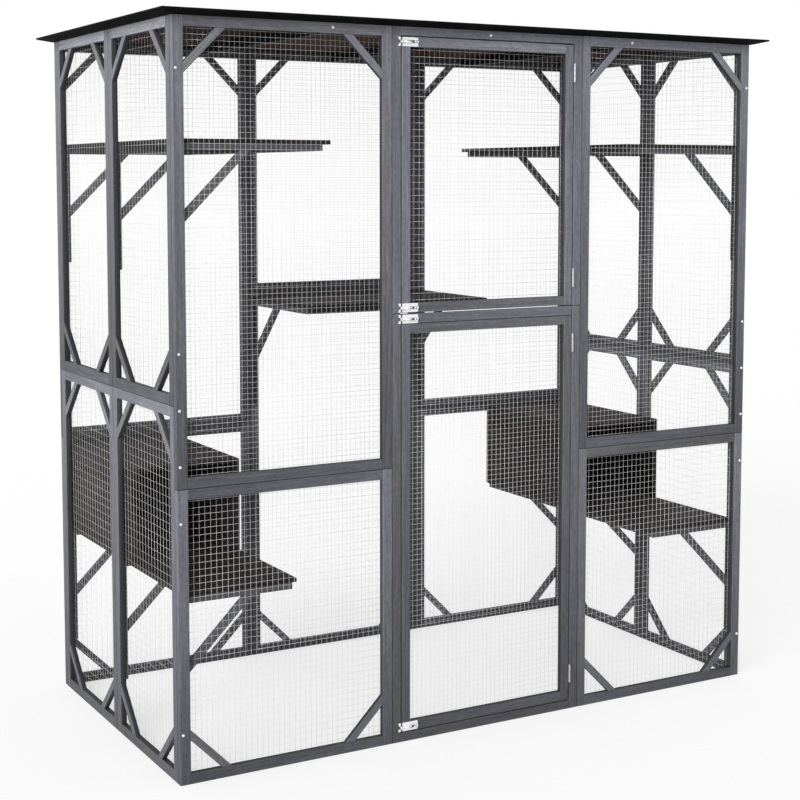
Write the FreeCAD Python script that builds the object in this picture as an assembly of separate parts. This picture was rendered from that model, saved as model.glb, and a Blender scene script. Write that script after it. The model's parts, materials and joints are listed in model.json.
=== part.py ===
import FreeCAD, Part
import os
from math import pi

from FreeCAD import Vector

# Walk-in outdoor cat enclosure of flat timber panels with welded wire on their inner faces.
# Millimetres. X runs to the right of someone facing the doors, Y to the back, Z up.
# The origin is on the ground, in the middle of the footprint.

# Panels
BAY_WIDTH = 568.0
SIDE_PANEL_WIDTH = 419.0
TALL_PANEL = 1086.0
SHORT_PANEL = 702.0
PANEL_THICK = 16.0
STILE = 27.0
RAIL = 26.0
BRACE_LEG = 105.0
BRACE_WIDTH = 18.0
BRACE_THICK = 14.0

# Door surround and doors
JAMB = 25.0
SILL = 23.0
HEADER = 22.0
DOOR_GAP = 3.0
DOOR_STILE = 24.0
DOOR_RAIL = 24.0
DOOR_FOOT_RAIL = 25.0
CAP_RAIL = 24.0

# Welded wire, drawn as flat strands that each hold the metal of a cell's worth of wires
WIRE_PITCH = 13.0
WIRE_THICK = 1.2
WIRE_CELL = 150.0

# Roof
ROOF_OVERHANG = 38.0
ROOF_BOARD_THICK = 9.0
FELT_THICK = 3.0
RAFTER_WIDTH = 28.0
RAFTER_HEIGHT = 24.0

# Shelves
BOARD_THICK = 10.0
ARM_HEIGHT = 16.0
SHELF_ARM_INSET = 22.0
PLATFORM_ARM_INSET = 12.0
BRACKET_WIDTH = 14.0
BATTEN_THICK = 13.0
BATTEN_LENGTH = 295.0
STRUT_LEG = 170.0
STRUT_WIDTH = 18.5
SEAT_CLEARANCE = 0.5
BOARD_CLEARANCE = 1.5
UPPER_SHELF_HEADROOM = 278.0
UPPER_SHELF_REACH = 394.0
MIDDLE_SHELF_DROP = 11.0
MIDDLE_SHELF_REACH = 400.0
PLATFORM_TOP = 454.0
PLATFORM_REACH = 297.0

# Sleeping boxes
HOUSE_HEIGHT = 240.0
HOUSE_DEPTH = 494.0
HOUSE_BOARD = 10.0

# Hinges
HINGE_LENGTH = 48.0
HINGE_END_INSET = 72.0
LEAF_THICK = 1.2
LEAF_DEPTH = 11.0
LEAF_CLEARANCE = 0.6
KNUCKLE_RADIUS = 3.0
KNUCKLE_CLEARANCE = 0.2
MIDDLE_KNUCKLE = 18.0
PIN_RADIUS = 1.5
PIN_CLEARANCE = 0.05

# Latches
LATCH_LENGTH = 45.0
LATCH_HEIGHT = 22.0
LATCH_EDGE = 1.5
LATCH_SHEET = 1.2
BARREL_MARGIN = 3.0
BARREL_WALL = 1.6
BARREL_SINK = 0.8
BOLT_RADIUS = 2.5
BOLT_CLEARANCE = 0.06
BOLT_TRAVEL = 5.0
KNOB_RADIUS = 1.8
KNOB_HEIGHT = 4.0
KNOB_FROM_END = 13.0
SLOT_CLEARANCE = 0.25
KEEP_LENGTH = 8.0
KEEP_INSET = 1.0
KEEP_CLEARANCE = 0.8

# Worked out from the sizes above
BODY_WIDTH = 3 * BAY_WIDTH
BODY_DEPTH = 2 * (SIDE_PANEL_WIDTH + PANEL_THICK)
BODY_HEIGHT = TALL_PANEL + SHORT_PANEL
SIDE_SPLIT = BODY_HEIGHT / 2
WIRE_FACE = PANEL_THICK + WIRE_THICK
STRAND_WIDTH = WIRE_CELL / WIRE_PITCH * pi * WIRE_THICK / 4
WIRE_LAP = STILE - WIRE_THICK - BRACKET_WIDTH - 2 * SEAT_CLEARANCE
FRONT_FACE = -BODY_DEPTH / 2
HINGE_GAP = 2 * LEAF_THICK + LEAF_CLEARANCE
OPENING_HALF = BAY_WIDTH / 2 - JAMB
DOOR_LEFT = -OPENING_HALF + DOOR_GAP
DOOR_RIGHT = OPENING_HALF - HINGE_GAP
HINGE_X = OPENING_HALF - HINGE_GAP / 2
HINGE_Y = FRONT_FACE - KNUCKLE_RADIUS - KNUCKLE_CLEARANCE
LOWER_DOOR_FOOT = SILL + DOOR_GAP
LOWER_DOOR_HEAD = TALL_PANEL - DOOR_GAP / 2
UPPER_DOOR_FOOT = TALL_PANEL + DOOR_GAP / 2
UPPER_DOOR_HEAD = BODY_HEIGHT - HEADER - DOOR_GAP
BORE_RADIUS = BOLT_RADIUS + BOLT_CLEARANCE
BARREL_RADIUS = BORE_RADIUS + BARREL_WALL
BOLT_Y = FRONT_FACE - LATCH_SHEET - BARREL_RADIUS + BARREL_SINK
UPPER_SHELF_TOP = BODY_HEIGHT - UPPER_SHELF_HEADROOM
MIDDLE_SHELF_TOP = TALL_PANEL - MIDDLE_SHELF_DROP


class Wall:
    """A side of the enclosure: u runs along it, v up, and w inwards from its outer face."""

    def __init__(self, origin, along, inward):
        self.origin = Vector(*origin)
        self.along = Vector(*along)
        self.inward = Vector(*inward)

    def point(self, u, v, w):
        return self.origin + self.along * u + Vector(0, 0, v) + self.inward * w

    def bar(self, u, v, w):
        """A straight board between the two values of each pair."""
        corners = [(u[0], v[0]), (u[1], v[0]), (u[1], v[1]), (u[0], v[1])]
        return self.slab(corners, w)

    def slab(self, corners, w, holes=()):
        """An outline drawn on the wall, with holes, as thick as the pair w."""
        wires = [polygon([self.point(u, v, w[0]) for u, v in ring]) for ring in [corners, *holes]]
        return Part.Face(wires).extrude(self.inward * (w[1] - w[0]))

    def strut(self, corners, u):
        """An outline of (w, v) points, seen along the wall, as wide as the pair u."""
        wire = polygon([self.point(u[0], v, w) for w, v in corners])
        return Part.Face(wire).extrude(self.along * (u[1] - u[0]))


FRONT = Wall((0, -BODY_DEPTH / 2, 0), (1, 0, 0), (0, 1, 0))
BACK = Wall((0, BODY_DEPTH / 2, 0), (1, 0, 0), (0, -1, 0))
LEFT = Wall((-BODY_WIDTH / 2, 0, 0), (0, 1, 0), (1, 0, 0))
RIGHT = Wall((BODY_WIDTH / 2, 0, 0), (0, 1, 0), (-1, 0, 0))


def polygon(points):
    return Part.makePolygon([*points, points[0]])


def box(x, y, z):
    """A box between the two values of each pair."""
    return Part.makeBox(x[1] - x[0], y[1] - y[0], z[1] - z[0], Vector(x[0], y[0], z[0]))


def rod(radius, start, end):
    """A round rod from one point to the other."""
    run = Vector(*end) - Vector(*start)
    return Part.makeCylinder(radius, run.Length, Vector(*start), run)


def save(node, solids):
    """Writes one node as a group of separate solids."""
    Part.makeCompound(solids).exportStep(f"parts/{node}.step")


def brace(wall, corner, turn_u, turn_v):
    """A 45 degree brace across the corner of an opening, reaching the way of the two turns."""
    inner_leg = BRACE_LEG - BRACE_WIDTH * 2**0.5
    legs = [(BRACE_LEG, 0), (inner_leg, 0), (0, inner_leg), (0, BRACE_LEG)]
    outline = [(corner[0] + turn_u * a, corner[1] + turn_v * b) for a, b in legs]
    return wall.slab(outline, (0, BRACE_THICK))


def panel(wall, u, v, braced):
    """Two stiles, two rails between them, and braces in the top or bottom corners."""
    inner_u = (u[0] + STILE, u[1] - STILE)
    inner_v = (v[0] + RAIL, v[1] - RAIL)
    thick = (0, PANEL_THICK)
    members = [
        wall.bar((u[0], inner_u[0]), v, thick),
        wall.bar((inner_u[1], u[1]), v, thick),
        wall.bar(inner_u, (v[0], inner_v[0]), thick),
        wall.bar(inner_u, (inner_v[1], v[1]), thick),
    ]
    for row, turn_v in (("bottom", 1), ("top", -1)):
        if row in braced:
            height = inner_v[0] if turn_v > 0 else inner_v[1]
            members.append(brace(wall, (inner_u[0], height), 1, turn_v))
            members.append(brace(wall, (inner_u[1], height), -1, turn_v))
    return members


def wire_sheet(wall, u, v, stile, foot, head):
    """The wire of a frame u by v, as one holed sheet that laps onto its stiles and rails."""
    left, right = u[0] + stile - WIRE_LAP, u[1] - stile + WIRE_LAP
    low, high = v[0] + foot - WIRE_LAP, v[1] - head + WIRE_LAP
    columns = max(1, round((right - left) / WIRE_CELL))
    rows = max(1, round((high - low) / WIRE_CELL))
    step_u = (right - left - STRAND_WIDTH) / columns
    step_v = (high - low - STRAND_WIDTH) / rows
    holes = []
    for column in range(columns):
        for row in range(rows):
            a = left + STRAND_WIDTH + column * step_u
            b = low + STRAND_WIDTH + row * step_v
            far_a = a + step_u - STRAND_WIDTH
            far_b = b + step_v - STRAND_WIDTH
            holes.append([(a, b), (far_a, b), (far_a, far_b), (a, far_b)])
    corners = [(left, low), (right, low), (right, high), (left, high)]
    return wall.slab(corners, (PANEL_THICK, WIRE_FACE), holes)


def wall_panels():
    """Every fixed panel as (node, wall, wire node, u, v, braced rows)."""
    third = BAY_WIDTH / 2
    bays = {
        "left": (-3 * third, -third),
        "middle": (-third, third),
        "right": (third, 3 * third),
    }
    rows = {
        "short_below": (("lower", 0, SHORT_PANEL, "bottom"), ("upper", SHORT_PANEL, BODY_HEIGHT, "top")),
        "tall_below": (("lower", 0, TALL_PANEL, "bottom"), ("upper", TALL_PANEL, BODY_HEIGHT, "top")),
        "halves": (("lower", 0, SIDE_SPLIT, "bottom top"), ("upper", SIDE_SPLIT, BODY_HEIGHT, "bottom top")),
    }
    columns = [
        ("front_left", FRONT, bays["left"], "short_below"),
        ("front_right", FRONT, bays["right"], "short_below"),
        ("back_left", BACK, bays["left"], "short_below"),
        ("back_middle", BACK, bays["middle"], "tall_below"),
        ("back_right", BACK, bays["right"], "short_below"),
    ]
    for name, wall in (("left", LEFT), ("right", RIGHT)):
        columns.append((f"{name}_front", wall, (-SIDE_PANEL_WIDTH, 0), "halves"))
        columns.append((f"{name}_rear", wall, (0, SIDE_PANEL_WIDTH), "halves"))
    panels = []
    for name, wall, u, split in columns:
        side = name.split("_")[0]
        for level, low, high, braced in rows[split]:
            node = f"{name}_{level}_panel"
            panels.append((node, wall, f"{side}_wire_mesh", u, (low, high), braced))
    return panels


def build_walls():
    sheets = {}
    for node, wall, wire_node, u, v, braced in wall_panels():
        save(node, panel(wall, u, v, braced))
        sheets.setdefault(wire_node, []).append(wire_sheet(wall, u, v, STILE, RAIL, RAIL))
    for wire_node, solids in sheets.items():
        save(wire_node, solids)


def build_door_surround():
    """Jambs beside both doors, a sill under the lower one and a header over the upper one."""
    thick = (0, PANEL_THICK)
    opening = (-OPENING_HALF, OPENING_HALF)
    jambs = ((-BAY_WIDTH / 2, -OPENING_HALF), (OPENING_HALF, BAY_WIDTH / 2))
    lower = [FRONT.bar(u, (0, TALL_PANEL), thick) for u in jambs]
    upper = [FRONT.bar(u, (TALL_PANEL, BODY_HEIGHT), thick) for u in jambs]
    lower.append(FRONT.bar(opening, (0, SILL), thick))
    upper.append(FRONT.bar(opening, (BODY_HEIGHT - HEADER, BODY_HEIGHT), thick))
    save("lower_door_surround", lower)
    save("upper_door_surround", upper)


def door_frame(foot, head, foot_rail):
    """Stiles with rails between them, from the foot of the door to its head."""
    thick = (0, PANEL_THICK)
    inner = (DOOR_LEFT + DOOR_STILE, DOOR_RIGHT - DOOR_STILE)
    return [
        FRONT.bar((DOOR_LEFT, inner[0]), (foot, head), thick),
        FRONT.bar((inner[1], DOOR_RIGHT), (foot, head), thick),
        FRONT.bar(inner, (foot, foot + foot_rail), thick),
        FRONT.bar(inner, (head - DOOR_RAIL, head), thick),
    ]


def build_doors():
    width = (DOOR_LEFT, DOOR_RIGHT)
    cap_foot = LOWER_DOOR_HEAD - CAP_RAIL
    lower = door_frame(LOWER_DOOR_FOOT, cap_foot, DOOR_FOOT_RAIL)
    lower.append(FRONT.bar(width, (cap_foot, LOWER_DOOR_HEAD), (0, PANEL_THICK)))
    save("lower_door_frame", lower)
    save("upper_door_frame", door_frame(UPPER_DOOR_FOOT, UPPER_DOOR_HEAD, DOOR_RAIL))
    lower_height = (LOWER_DOOR_FOOT, cap_foot)
    upper_height = (UPPER_DOOR_FOOT, UPPER_DOOR_HEAD)
    lower_wire = wire_sheet(FRONT, width, lower_height, DOOR_STILE, DOOR_FOOT_RAIL, DOOR_RAIL)
    upper_wire = wire_sheet(FRONT, width, upper_height, DOOR_STILE, DOOR_RAIL, DOOR_RAIL)
    save("lower_door_wire_mesh", [lower_wire])
    save("upper_door_wire_mesh", [upper_wire])


def hinge_leaf(inner_x, outer_x, middle, knuckles):
    """A leaf that lies in the gap beside the door, with the knuckles of the z pairs given."""
    half = HINGE_LENGTH / 2
    leaf = box((inner_x, outer_x), (FRONT_FACE, FRONT_FACE + LEAF_DEPTH), (middle - half, middle + half))
    bore = rod(PIN_RADIUS + PIN_CLEARANCE, (HINGE_X, HINGE_Y, middle - half), (HINGE_X, HINGE_Y, middle + half))
    for low, high in knuckles:
        barrel = rod(KNUCKLE_RADIUS, (HINGE_X, HINGE_Y, low), (HINGE_X, HINGE_Y, high))
        root = box((inner_x, outer_x), (HINGE_Y, FRONT_FACE), (low, high))
        leaf = leaf.fuse([barrel, root])
    return leaf.cut(bore).removeSplitter()


def build_hinges():
    """A three-knuckle butt hinge near each end of both doors."""
    heights = {
        "lower": (LOWER_DOOR_FOOT + HINGE_END_INSET, LOWER_DOOR_HEAD - CAP_RAIL - HINGE_END_INSET),
        "upper": (UPPER_DOOR_FOOT + HINGE_END_INSET, UPPER_DOOR_HEAD - HINGE_END_INSET),
    }
    half = HINGE_LENGTH / 2
    between = MIDDLE_KNUCKLE / 2
    frame_leaves, pins = [], []
    for door, middles in heights.items():
        door_leaves = []
        for middle in middles:
            door_knuckle = (middle - between, middle + between)
            below = (middle - half, middle - between - KNUCKLE_CLEARANCE)
            above = (middle + between + KNUCKLE_CLEARANCE, middle + half)
            door_leaves.append(hinge_leaf(DOOR_RIGHT, DOOR_RIGHT + LEAF_THICK, middle, [door_knuckle]))
            frame_leaves.append(hinge_leaf(OPENING_HALF - LEAF_THICK, OPENING_HALF, middle, [below, above]))
            pins.append(rod(PIN_RADIUS, (HINGE_X, HINGE_Y, middle - half), (HINGE_X, HINGE_Y, middle + half)))
        save(f"{door}_door_hinge_leaves", door_leaves)
    save("frame_hinge_leaves", frame_leaves)
    save("hinge_pins", pins)


def latch_plate(height):
    """The plate on the door, with the barrel that the bolt slides in and the slot of its knob."""
    end = DOOR_LEFT + LATCH_LENGTH
    knob_x = end - KNOB_FROM_END
    half_slot = BOLT_TRAVEL + KNOB_RADIUS + SLOT_CLEARANCE
    half_height = LATCH_HEIGHT / 2
    half_width = KNOB_RADIUS + SLOT_CLEARANCE
    plate_y = (FRONT_FACE - LATCH_SHEET, FRONT_FACE)
    plate = box((DOOR_LEFT, end), plate_y, (height - half_height, height + half_height))
    start = (DOOR_LEFT + BARREL_MARGIN, BOLT_Y, height)
    stop = (end - BARREL_MARGIN, BOLT_Y, height)
    barrel = rod(BARREL_RADIUS, start, stop)
    bore = rod(BORE_RADIUS, start, stop)
    slot_x = (knob_x - half_slot, knob_x + half_slot)
    slot = box(slot_x, (BOLT_Y - BARREL_RADIUS, BOLT_Y), (height - half_width, height + half_width))
    return plate.fuse(barrel).cut(bore).cut(slot).removeSplitter()


def latch_bolt(height):
    """A round bolt that stops just short of its keep, with a knob standing out of the slot."""
    end = DOOR_LEFT + LATCH_LENGTH
    knob_x = end - KNOB_FROM_END
    tip = -OPENING_HALF - KEEP_INSET + KEEP_CLEARANCE
    bolt = rod(BOLT_RADIUS, (tip, BOLT_Y, height), (end - BARREL_MARGIN - BOLT_TRAVEL, BOLT_Y, height))
    knob_top = BOLT_Y - BARREL_RADIUS - KNOB_HEIGHT
    knob = rod(KNOB_RADIUS, (knob_x, BOLT_Y, height), (knob_x, knob_top, height))
    return bolt.fuse(knob).removeSplitter()


def latch_keep(height):
    """A strap on the jamb, bent up over the end of the bolt."""
    right = -OPENING_HALF - KEEP_INSET
    span = (right - KEEP_LENGTH, right)
    inner = BOLT_RADIUS + KEEP_CLEARANCE
    outer = inner + LATCH_SHEET
    half_height = LATCH_HEIGHT / 2
    feet = box(span, (FRONT_FACE - LATCH_SHEET, FRONT_FACE), (height - half_height, height + half_height))
    legs = box(span, (BOLT_Y, FRONT_FACE), (height - outer, height + outer))
    arch = rod(outer, (span[0], BOLT_Y, height), (span[1], BOLT_Y, height))
    room = box(span, (BOLT_Y, FRONT_FACE), (height - inner, height + inner))
    bend = rod(inner, (span[0], BOLT_Y, height), (span[1], BOLT_Y, height))
    return feet.fuse([legs, arch]).cut(room.fuse(bend)).removeSplitter()


def build_latches():
    """A sliding latch at the foot and the head of each door."""
    inset = LATCH_EDGE + LATCH_HEIGHT / 2
    heights = {
        "lower": {"foot": LOWER_DOOR_FOOT + inset, "head": LOWER_DOOR_HEAD - inset},
        "upper": {"foot": UPPER_DOOR_FOOT + inset, "head": UPPER_DOOR_HEAD - inset},
    }
    keeps = []
    for door, ends in heights.items():
        save(f"{door}_door_latch_plates", [latch_plate(height) for height in ends.values()])
        for end, height in ends.items():
            save(f"{door}_door_{end}_bolt", [latch_bolt(height)])
            keeps.append(latch_keep(height))
    save("latch_keeps", keeps)


def build_roof():
    """Four boards side by side with felt on each, and rafters under their joints."""
    width = BODY_WIDTH + 2 * ROOF_OVERHANG
    depth = BODY_DEPTH / 2 + ROOF_OVERHANG
    board_top = BODY_HEIGHT + ROOF_BOARD_THICK
    names = ("left", "centre_left", "centre_right", "right")
    sheet = width / len(names)
    felts, rafters = [], []
    rafter_reach = BODY_DEPTH / 2 - WIRE_FACE - SEAT_CLEARANCE
    for place, name in enumerate(names):
        left = -width / 2 + place * sheet
        span = (left, left + sheet)
        save(f"roof_board_{name}", [box(span, (-depth, depth), (BODY_HEIGHT, board_top))])
        felts.append(box(span, (-depth, depth), (board_top, board_top + FELT_THICK)))
        if place:
            across = (left - RAFTER_WIDTH / 2, left + RAFTER_WIDTH / 2)
            rafter_z = (BODY_HEIGHT - RAFTER_HEIGHT, BODY_HEIGHT)
            rafters.append(box(across, (-rafter_reach, rafter_reach), rafter_z))
    save("roof_felt", felts)
    save("roof_rafters", rafters)


def bracket(wall, middle, arm_foot, arm_end):
    """An arm with a batten on the wall under it and a 45 degree strut between the two."""
    u = (middle - BRACKET_WIDTH / 2, middle + BRACKET_WIDTH / 2)
    batten_face = PANEL_THICK + BATTEN_THICK
    inner_leg = STRUT_LEG - STRUT_WIDTH * 2**0.5
    outline = [
        (batten_face + STRUT_LEG, arm_foot),
        (batten_face + inner_leg, arm_foot),
        (batten_face, arm_foot - inner_leg),
        (batten_face, arm_foot - STRUT_LEG),
    ]
    return [
        wall.bar(u, (arm_foot, arm_foot + ARM_HEIGHT), (PANEL_THICK, arm_end)),
        wall.bar(u, (arm_foot - BATTEN_LENGTH, arm_foot), (PANEL_THICK, batten_face)),
        wall.strut(outline, u),
    ]


def shelf(name, wall, half_length, top, reach, arm_inset, brackets):
    """A board and its brackets, with an end batten that joins the ends of the arms."""
    board_foot = top - BOARD_THICK
    arm_foot = board_foot - ARM_HEIGHT
    start = WIRE_FACE + BOARD_CLEARANCE
    board = wall.bar((-half_length, half_length), (board_foot, top), (start, PANEL_THICK + reach))
    arm_end = PANEL_THICK + reach - arm_inset
    supports = [solid for middle in brackets for solid in bracket(wall, middle, arm_foot, arm_end)]
    for near, far in zip(brackets, brackets[1:]):
        run = (near + BRACKET_WIDTH / 2, far - BRACKET_WIDTH / 2)
        supports.append(wall.bar(run, (arm_foot, board_foot), (arm_end - BRACKET_WIDTH, arm_end)))
    save(f"{name}_board", [board])
    save(f"{name}_supports", supports)


def build_shelves():
    side_half = SIDE_PANEL_WIDTH - WIRE_THICK - BOARD_CLEARANCE
    corner = SIDE_PANEL_WIDTH - WIRE_THICK - SEAT_CLEARANCE - BRACKET_WIDTH / 2
    side_brackets = (-corner, 0, corner)
    for side, wall in (("left", LEFT), ("right", RIGHT)):
        upper = (UPPER_SHELF_TOP, UPPER_SHELF_REACH, SHELF_ARM_INSET)
        lower = (PLATFORM_TOP, PLATFORM_REACH, PLATFORM_ARM_INSET)
        shelf(f"upper_{side}_shelf", wall, side_half, *upper, side_brackets)
        shelf(f"lower_{side}_platform", wall, side_half, *lower, side_brackets)
    post = BAY_WIDTH / 2 - SEAT_CLEARANCE - BRACKET_WIDTH / 2
    middle = (MIDDLE_SHELF_TOP, MIDDLE_SHELF_REACH, SHELF_ARM_INSET)
    shelf("middle_shelf", BACK, BAY_WIDTH / 2, *middle, (-post, post))


def build_houses():
    """A box on the rear half of each platform: two sides, a back and a top, open to the front."""
    rear = SIDE_PANEL_WIDTH - WIRE_THICK - BOARD_CLEARANCE
    front = rear - HOUSE_DEPTH
    near = WIRE_FACE + BOARD_CLEARANCE
    far = PANEL_THICK + PLATFORM_REACH
    top = PLATFORM_TOP + HOUSE_HEIGHT
    ceiling = top - HOUSE_BOARD
    height = (PLATFORM_TOP, ceiling)
    for side, wall in (("left", LEFT), ("right", RIGHT)):
        boards = [
            wall.bar((front, rear), (ceiling, top), (near, far)),
            wall.bar((front, rear), height, (near, near + HOUSE_BOARD)),
            wall.bar((front, rear), height, (far - HOUSE_BOARD, far)),
            wall.bar((rear - HOUSE_BOARD, rear), height, (near + HOUSE_BOARD, far - HOUSE_BOARD)),
        ]
        save(f"{side}_house", boards)


os.makedirs("parts", exist_ok=True)
build_walls()
build_door_surround()
build_doors()
build_hinges()
build_latches()
build_roof()
build_shelves()
build_houses()
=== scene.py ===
import json
import random
from math import cos, pi, radians, sqrt

import bmesh
import bpy
from mathutils import Matrix, Vector, noise

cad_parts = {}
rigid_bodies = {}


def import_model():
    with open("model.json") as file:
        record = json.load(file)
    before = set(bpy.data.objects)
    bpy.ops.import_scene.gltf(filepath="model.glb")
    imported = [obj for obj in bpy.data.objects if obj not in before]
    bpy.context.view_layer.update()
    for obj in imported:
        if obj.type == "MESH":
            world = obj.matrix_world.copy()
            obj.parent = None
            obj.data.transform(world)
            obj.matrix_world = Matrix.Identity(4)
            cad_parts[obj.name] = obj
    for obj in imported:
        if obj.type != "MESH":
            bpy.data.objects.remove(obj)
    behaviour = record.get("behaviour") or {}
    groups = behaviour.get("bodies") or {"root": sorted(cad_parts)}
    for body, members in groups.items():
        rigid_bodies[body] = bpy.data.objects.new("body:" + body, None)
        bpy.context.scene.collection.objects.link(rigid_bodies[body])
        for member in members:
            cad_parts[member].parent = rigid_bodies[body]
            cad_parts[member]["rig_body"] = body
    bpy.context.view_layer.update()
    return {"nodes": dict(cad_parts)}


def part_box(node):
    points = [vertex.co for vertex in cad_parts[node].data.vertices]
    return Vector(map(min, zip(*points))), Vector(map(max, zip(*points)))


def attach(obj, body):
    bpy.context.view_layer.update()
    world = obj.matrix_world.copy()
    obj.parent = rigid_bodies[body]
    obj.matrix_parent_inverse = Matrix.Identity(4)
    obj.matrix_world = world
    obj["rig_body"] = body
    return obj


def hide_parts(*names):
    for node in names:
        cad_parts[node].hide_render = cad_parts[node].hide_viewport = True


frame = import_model()
random.seed(4)

# Looks of a walk-in outdoor cat enclosure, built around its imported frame.
# Metres. X runs to the right of someone facing the doors, Y to the back, Z up.

MM = 0.001
UP = Vector((0, 0, 1))
TO_BACK = Vector((0, 1, 0))

# Timber
PANEL_THICK = 16 * MM
STILE = 27 * MM
RAIL = 26 * MM
BRACE_LEG = 105 * MM
BRACE_WIDTH = 18 * MM
BRACE_THICK = 14 * MM
JAMB = 25 * MM
SILL = 23 * MM
HEADER = 22 * MM
DOOR_STILE = 24 * MM
DOOR_RAIL = 24 * MM
DOOR_FOOT_RAIL = 25 * MM
CAP_RAIL = 24 * MM
EASED_EDGE = 1.6 * MM
PANEL_GAP = 0.04 * MM

# Tones against the middle grey. Beyond a small random spread and warmth they are painted light and
# shade: uprights paler towards their heads, low rails and foot braces darker, doors and jambs
# darker low down and paler high up, top rails, head braces and the header paler against the shade
# of the roof's overhang, the side walls' head rails paler as if lit from the left, rails paler at
# one end, and arms, struts and rafters darker as painted shade
STILE_TONES = (0.66, 1.50)
GROUND_RAIL_TONE = 0.60
FOOT_RAIL_TONE = 0.76
HEAD_RAIL_TONE = 0.78
TOP_RAIL_TONE = 1.40
SIDE_RAIL_GAIN = 1.85
RAIL_NEAR = 1.20
RAIL_FAR = 0.90
FOOT_BRACE_TONE = 0.95
HEAD_BRACE_TONE = 1.55
DOOR_STILE_TONES = {"lower": (0.60, 1.08), "upper": (1.40, 1.36)}
DOOR_FOOT_TONES = {"lower": (0.62, 0.75), "upper": (0.92, 1.15)}
DOOR_HEAD_TONES = {"lower": (0.88, 1.15), "upper": (1.50, 1.85)}
CAP_TONES = (1.05, 1.30)
JAMB_TONES = {"lower": (0.58, 1.22), "upper": (1.30, 1.22)}
SILL_TONE = 0.57
HEADER_TONE = 1.35
TONE_SPREAD = 0.06
WARMTH = (0.015, 0.0, -0.035)
ARM_TONE = 0.62
STRUT_TONE = 0.76
RAFTER_TONE = 0.10
PAINT_GLOSS = 0.3
RAFTER_GLOSS = 0.04

# How deep the painted shade is on the sides that face an opening and on inner faces, from 0 to 1,
# and what is left of their colour at 1
REVEAL_SHADE = 0.62
INNER_FACE_SHADE = 0.56
FULL_SHADE_LEFT = 0.12
JOINT_REACH = 0.9
FACING = 0.95
GRAIN_SHIFT = 9

# Shelves and sleeping boxes
ARM_HEIGHT = 16 * MM
BRACKET_WIDTH = 14 * MM
BATTEN_THICK = 13 * MM
STRUT_LEG = 170 * MM
STRUT_WIDTH = 18.5 * MM
HOUSE_BOARD = 10 * MM
BOARD_EDGE = 0.9 * MM

# Each shelf's wall, the number of its brackets and their tone; the lower tones paint shade on the
# brackets of the shelves further in
SHELVES = {
    "upper_left_shelf": ("left", 3, 1.0),
    "upper_right_shelf": ("right", 3, 0.62),
    "lower_left_platform": ("left", 3, 0.85),
    "lower_right_platform": ("right", 3, 0.62),
    "middle_shelf": ("back", 2, 0.50),
}

# Welded wire
TALL_PITCH = (13.1 * MM, 13.1 * MM)
SHORT_PITCH = (14.6 * MM, 16.3 * MM)
SIDE_PITCH = (20.6 * MM, 21.2 * MM)
TALL_PANEL = 900 * MM
WIRE_RADIUS = 0.26 * MM
WIRE_WELD = 0.42 * MM
WIRE_LAP = 10.8 * MM
WIRE_SIDES = 6

# Roof
FELT = 1.2 * MM
FELT_EDGE = 4.5 * MM
FELT_FOLD = 1.8 * MM
FELT_HEM = 34 * MM
FELT_GAP = 1.3 * MM
FELT_WAVE = 0.5 * MM
FELT_WAVES_PER_METRE = 9
FELT_SQUARES = (10, 20)
FELT_BLEACHED = 3.2
NEAR = 0.1 * MM
RAFTER_WIDTH = 28 * MM

# Screws; the head's own form is in shares of its radius
SCREW_RADIUS = 3.5 * MM
SCREW_STEPS = ((0.22, 1.0), (0.42, 0.86))
SCREW_SIDES = 12
SCREW_TOP = 0.52
SCREW_RECESS = 0.35
SCREW_RECESS_REACH = 0.5
SCREW_HEIGHTS = (0.121, 0.622, 0.755, 0.886, 1.017, 1.668)
SCREW_BELOW_ROOF = 12 * MM

# Latches
LATCH_SHEET = 1.2 * MM
LATCH_LENGTH = 45 * MM
LATCH_HEIGHT = 22 * MM
LATCH_CORNER = 2.4 * MM
LATCH_EDGE = 0.3 * MM
LATCH_SCREW_INSET = 3.6 * MM
LATCH_SCREW_RADIUS = 1.5 * MM
BARREL_RADIUS = 4.16 * MM
BARREL_WALL = 1.6 * MM
BARREL_MARGIN = 3 * MM
BARREL_SINK = 0.8 * MM
BARREL_SIDES = 24
BOLT_AXIS = LATCH_SHEET - BARREL_SINK + BARREL_RADIUS
SLOT_HALF = 8 * MM
SLOT_TURN = radians(50)
BOLT_RADIUS = 2.5 * MM
BOLT_EASE = 0.6 * MM
BARREL_SHADE_FROM = 9 * MM
KNOB_FROM_END = 13 * MM
KNOB_STEM = 1.8 * MM
KNOB_BALL = 2.3 * MM
KEEP_LENGTH = 8 * MM
KEEP_WAIST = 3 * MM
KEEP_CLEARANCE = 0.8 * MM
KEEP_SCREW = 0.6
KEEP_BENDS = 10

# Camera and light
CAMERA_PLACE = (-2.1791, -3.8186, 1.4216)
CAMERA_AZIMUTH = 29.534
CAMERA_PITCH = 4.868
CAMERA_LENS = 71.233
CAMERA_SHIFT = -0.11
SKY = 0.46
KEY_FROM = (-0.70, -0.50, 0.22)
KEY_STRENGTH = 3.0
KEY_SPREAD = 50
FLOOR_GREY = 0.5
FLOOR_GLOW = 0.63
FLOOR_HALF = 60.0


def face_box():
    """The outer faces of the four walls and the top of their panels, from the frame."""
    front_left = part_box("front_left_lower_panel")[0]
    back_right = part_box("back_right_upper_panel")[1]
    return front_left, back_right


BODY_LOW, BODY_HIGH = face_box()


class Wall:
    """A side of the enclosure: u runs along it, v up, and w inwards from its outer face."""

    def __init__(self, origin, along, inward):
        self.origin = Vector(origin)
        self.along = Vector(along)
        self.inward = Vector(inward)

    def point(self, u, v, w):
        """A place on the wall or behind its outer face."""
        return self.origin + self.along * u + UP * v + self.inward * w

    def span(self, low, high):
        """How far a box reaches along the wall."""
        return low.dot(self.along), high.dot(self.along)

    def depth(self, low, high):
        """How far a box reaches inwards from the wall's outer face."""
        ends = [(corner - self.origin).dot(self.inward) for corner in (low, high)]
        return min(ends), max(ends)


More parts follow.
